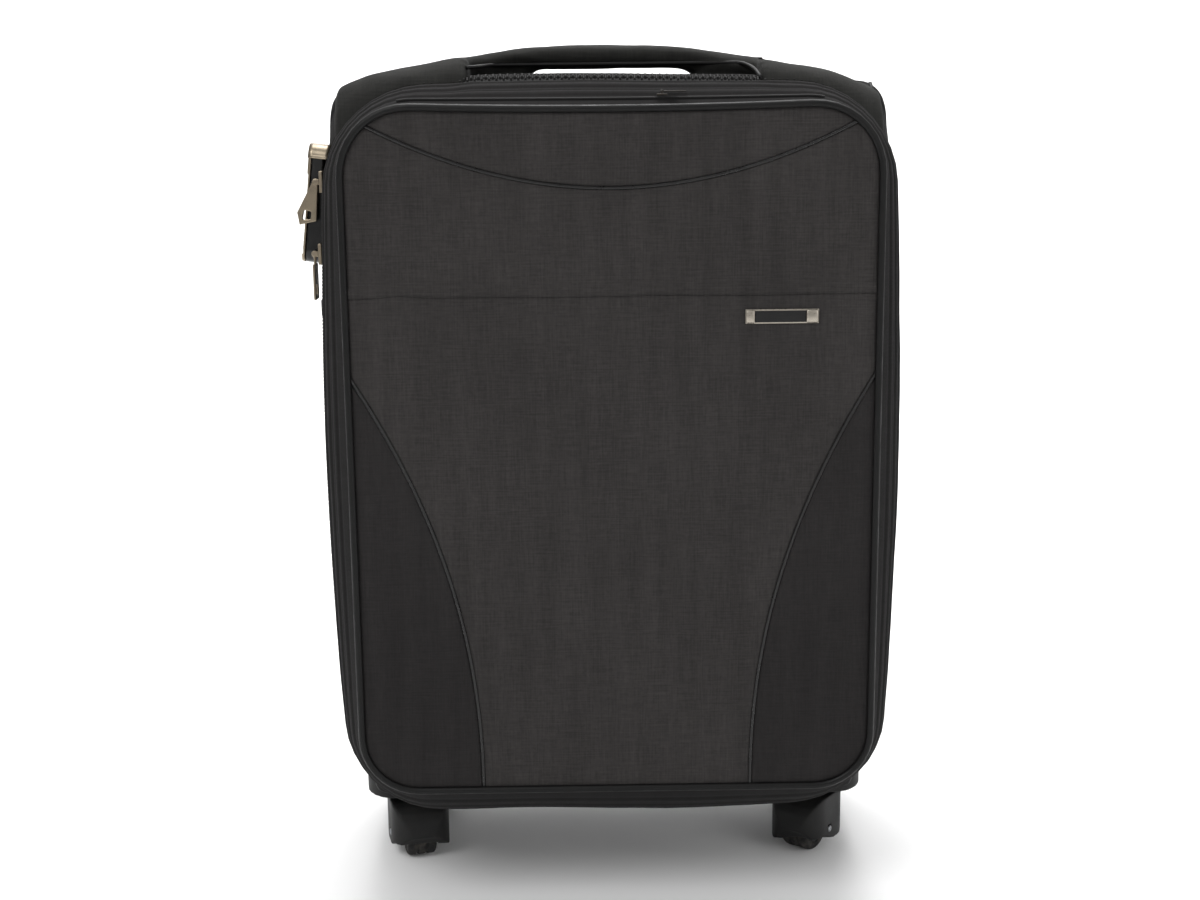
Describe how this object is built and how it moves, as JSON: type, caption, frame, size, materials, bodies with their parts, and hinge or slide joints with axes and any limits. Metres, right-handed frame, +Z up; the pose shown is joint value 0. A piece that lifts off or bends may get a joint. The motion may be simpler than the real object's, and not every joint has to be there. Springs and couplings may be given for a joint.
{
  "type": "softside suitcase",
  "caption": "Upright softside suitcase with a zipped front lid, expansion ring, combination lock, padded top handle, telescoping handle and swivel casters.",
  "frame": {"origin": "middle of the floor under the whole suitcase", "axes": "+Z up, +Y from the front panel to the back, +X to the right as seen from the front"},
  "size_m": [0.3806, 0.2312, 0.55],
  "materials": {
    "fabric_front": "heathered melange weave",
    "fabric_side_panel": "heathered melange weave, darker",
    "fabric_body": "plain polyester weave",
    "fabric_saddle": "smooth padded fabric",
    "lining_fabric": "thin satin lining",
    "vinyl": "semi-gloss vinyl",
    "matte_plastic": "fine moulded texture",
    "gloss_plastic": "polished",
    "board_plastic": "plain moulding",
    "zip_coil": "nylon coil",
    "tyre": "satin rubber",
    "steel": "plain",
    "aluminium": "satin anodised",
    "bronze_metal": "satin warm grey plating",
    "chrome": "bright"
  },
  "bodies": {
    "case": {"body_tub": "fabric_body", "frame_hoop": "steel", "back_board": "board_plastic", "base_tray": "matte_plastic", "lining": "lining_fabric", "top_handle": "fabric_saddle", "side_handle_bracket_upper": "matte_plastic", "side_handle_bracket_lower": "matte_plastic", "caster_mount_fl": "board_plastic", "caster_mount_fr": "board_plastic", "caster_mount_rl": "board_plastic", "caster_mount_rr": "board_plastic", "trolley_bezel": "matte_plastic", "trolley_foot": "board_plastic", "trolley_tube_left": "aluminium", "trolley_tube_right": "aluminium"},
    "side_handle": {"side_handle": "vinyl"},
    "expander": {"gusset_ring": "fabric_body", "case_zip_chain": "zip_coil", "lock_case": "gloss_plastic", "lock_bezel": "chrome"},
    "lock_dial_1": {"lock_dial_1": "matte_plastic"},
    "lock_dial_2": {"lock_dial_2": "matte_plastic"},
    "lock_dial_3": {"lock_dial_3": "matte_plastic"},
    "lock_button": {"lock_button": "bronze_metal"},
    "lid": {"lid_shell": "fabric_body", "lid_zip_chain": "zip_coil", "yoke_panel": "fabric_front", "upper_panel": "fabric_front", "pocket_panel": "fabric_front", "side_panel_left": "fabric_side_panel", "side_panel_right": "fabric_side_panel", "front_piping": "vinyl", "badge_plate": "bronze_metal"},
    "pocket_slider": {"pocket_slider": "steel"},
    "pocket_puller": {"pocket_puller": "steel"},
    "trolley_mid": {"mid_tube_left": "aluminium", "mid_tube_right": "aluminium"},
    "trolley_top": {"top_tube_left": "aluminium", "top_tube_right": "aluminium", "trolley_grip": "matte_plastic"},
    "trolley_button": {"trolley_button": "gloss_plastic"},
    "main_slider_upper": {"main_slider_upper": "bronze_metal"},
    "main_puller_upper": {"main_puller_upper": "bronze_metal"},
    "main_slider_lower": {"main_slider_lower": "bronze_metal"},
    "main_puller_lower": {"main_puller_lower": "bronze_metal"},
    "expansion_slider": {"expansion_slider": "chrome"},
    "expansion_puller": {"expansion_puller": "chrome"},
    "caster_fl": {"fork_fl": "matte_plastic", "axle_fl": "steel"},
    "wheel_fl": {"wheel_fl": "tyre"},
    "caster_fr": {"fork_fr": "matte_plastic", "axle_fr": "steel"},
    "wheel_fr": {"wheel_fr": "tyre"},
    "caster_rl": {"fork_rl": "matte_plastic", "axle_rl": "steel"},
    "wheel_rl": {"wheel_rl": "tyre"},
    "caster_rr": {"fork_rr": "matte_plastic", "axle_rr": "steel"},
    "wheel_rr": {"wheel_rr": "tyre"}
  },
  "joints": [
    {"name": "expansion", "type": "slide", "parent": "case", "child": "expander", "axis": [0, -1, 0], "range_m": [0, 0.035]},
    {"name": "lid_hinge", "type": "hinge", "parent": "expander", "child": "lid", "pos_m": [0.1848, -0.0607, 0.29], "axis": [0, 0, 1], "range_deg": [0, 165]},
    {"name": "side_handle_lift", "type": "hinge", "parent": "case", "child": "side_handle", "pos_m": [-0.1822, 0.0073, 0.32], "axis": [0, 0, 1], "range_deg": [0, 90]},
    {"name": "trolley_lower_stage", "type": "slide", "parent": "case", "child": "trolley_mid", "axis": [0, 0, 1], "range_m": [0, 0.25]},
    {"name": "trolley_upper_stage", "type": "slide", "parent": "trolley_mid", "child": "trolley_top", "axis": [0, 0, 1], "range_m": [0, 0.25]},
    {"name": "trolley_button_press", "type": "slide", "parent": "trolley_top", "child": "trolley_button", "axis": [0, 0, -1], "range_m": [0, 0.0025], "stiffness_N_per_m": 400, "springref_m": -0.001},
    {"name": "lock_dial_1_turn", "type": "hinge", "parent": "expander", "child": "lock_dial_1", "pos_m": [-0.17957, -0.0397, 0.46511], "axis": [0.1132, 0, 0.9936], "continuous": true},
    {"name": "lock_dial_2_turn", "type": "hinge", "parent": "expander", "child": "lock_dial_2", "pos_m": [-0.18038, -0.0397, 0.45795], "axis": [0.1132, 0, 0.9936], "continuous": true},
    {"name": "lock_dial_3_turn", "type": "hinge", "parent": "expander", "child": "lock_dial_3", "pos_m": [-0.1812, -0.0397, 0.4508], "axis": [0.1132, 0, 0.9936], "continuous": true},
    {"name": "lock_button_press", "type": "slide", "parent": "expander", "child": "lock_button", "axis": [0.9936, 0, -0.1132], "range_m": [0, 0.0014], "stiffness_N_per_m": 300, "springref_m": -0.001},
    {"name": "main_slider_upper_run", "type": "slide", "parent": "expander", "child": "main_slider_upper", "axis": [0.0611, 0, 0.9981], "range_m": [0, 0.012]},
    {"name": "main_puller_upper_swing", "type": "hinge", "parent": "main_slider_upper", "child": "main_puller_upper", "pos_m": [-0.17797, -0.0607, 0.468], "axis": [0, 1, 0], "range_deg": [0, 110]},
    {"name": "main_slider_lower_run", "type": "slide", "parent": "expander", "child": "main_slider_lower", "axis": [-0.0261, 0, -0.9997], "range_m": [0, 0.11]},
    {"name": "main_puller_lower_swing", "type": "hinge", "parent": "main_slider_lower", "child": "main_puller_lower", "pos_m": [-0.18025, -0.0607, 0.424], "axis": [0, 1, 0], "range_deg": [0, 120]},
    {"name": "expansion_slider_run", "type": "slide", "parent": "case", "child": "expansion_slider", "axis": [0, 0, 1], "range_m": [0, 0.12]},
    {"name": "expansion_puller_swing", "type": "hinge", "parent": "expansion_slider", "child": "expansion_puller", "pos_m": [0.18831, -0.0227, 0.222], "axis": [0, -1, 0], "range_deg": [0, 120]},
    {"name": "pocket_slider_run", "type": "slide", "parent": "lid", "child": "pocket_slider", "axis": [1, 0, 0], "range_m": [-0.08, 0.08]},
    {"name": "pocket_puller_swing", "type": "hinge", "parent": "pocket_slider", "child": "pocket_puller", "pos_m": [0.0328, -0.1015, 0.5196], "axis": [0, -1, 0], "range_deg": [0, 150]},
    {"name": "caster_fl_swivel", "type": "hinge", "parent": "case", "child": "caster_fl", "pos_m": [-0.1362, 0.0046, 0.04], "axis": [0, 0, 1], "continuous": true},
    {"name": "wheel_fl_spin", "type": "hinge", "parent": "caster_fl", "child": "wheel_fl", "pos_m": [-0.13403, -0.00413, 0.0175], "axis": [0.9703, 0.2419, 0], "continuous": true},
    {"name": "caster_fr_swivel", "type": "hinge", "parent": "case", "child": "caster_fr", "pos_m": [0.1418, 0.0046, 0.04], "axis": [0, 0, 1], "continuous": true},
    {"name": "wheel_fr_spin", "type": "hinge", "parent": "caster_fr", "child": "wheel_fr", "pos_m": [0.13651, -0.00268, 0.0175], "axis": [0.809, -0.5878, 0], "continuous": true},
    {"name": "caster_rl_swivel", "type": "hinge", "parent": "case", "child": "caster_rl", "pos_m": [-0.1362, 0.0826, 0.04], "axis": [0, 0, 1], "continuous": true},
    {"name": "wheel_rl_spin", "type": "hinge", "parent": "caster_rl", "child": "wheel_rl", "pos_m": [-0.13313, 0.07414, 0.0175], "axis": [0.9397, 0.342, 0], "continuous": true},
    {"name": "caster_rr_swivel", "type": "hinge", "parent": "case", "child": "caster_rr", "pos_m": [0.1418, 0.0826, 0.04], "axis": [0, 0, 1], "continuous": true},
    {"name": "wheel_rr_spin", "type": "hinge", "parent": "caster_rr", "child": "wheel_rr", "pos_m": [0.13992, 0.0738, 0.0175], "axis": [0.9781, -0.2079, 0], "continuous": true}
  ]
}
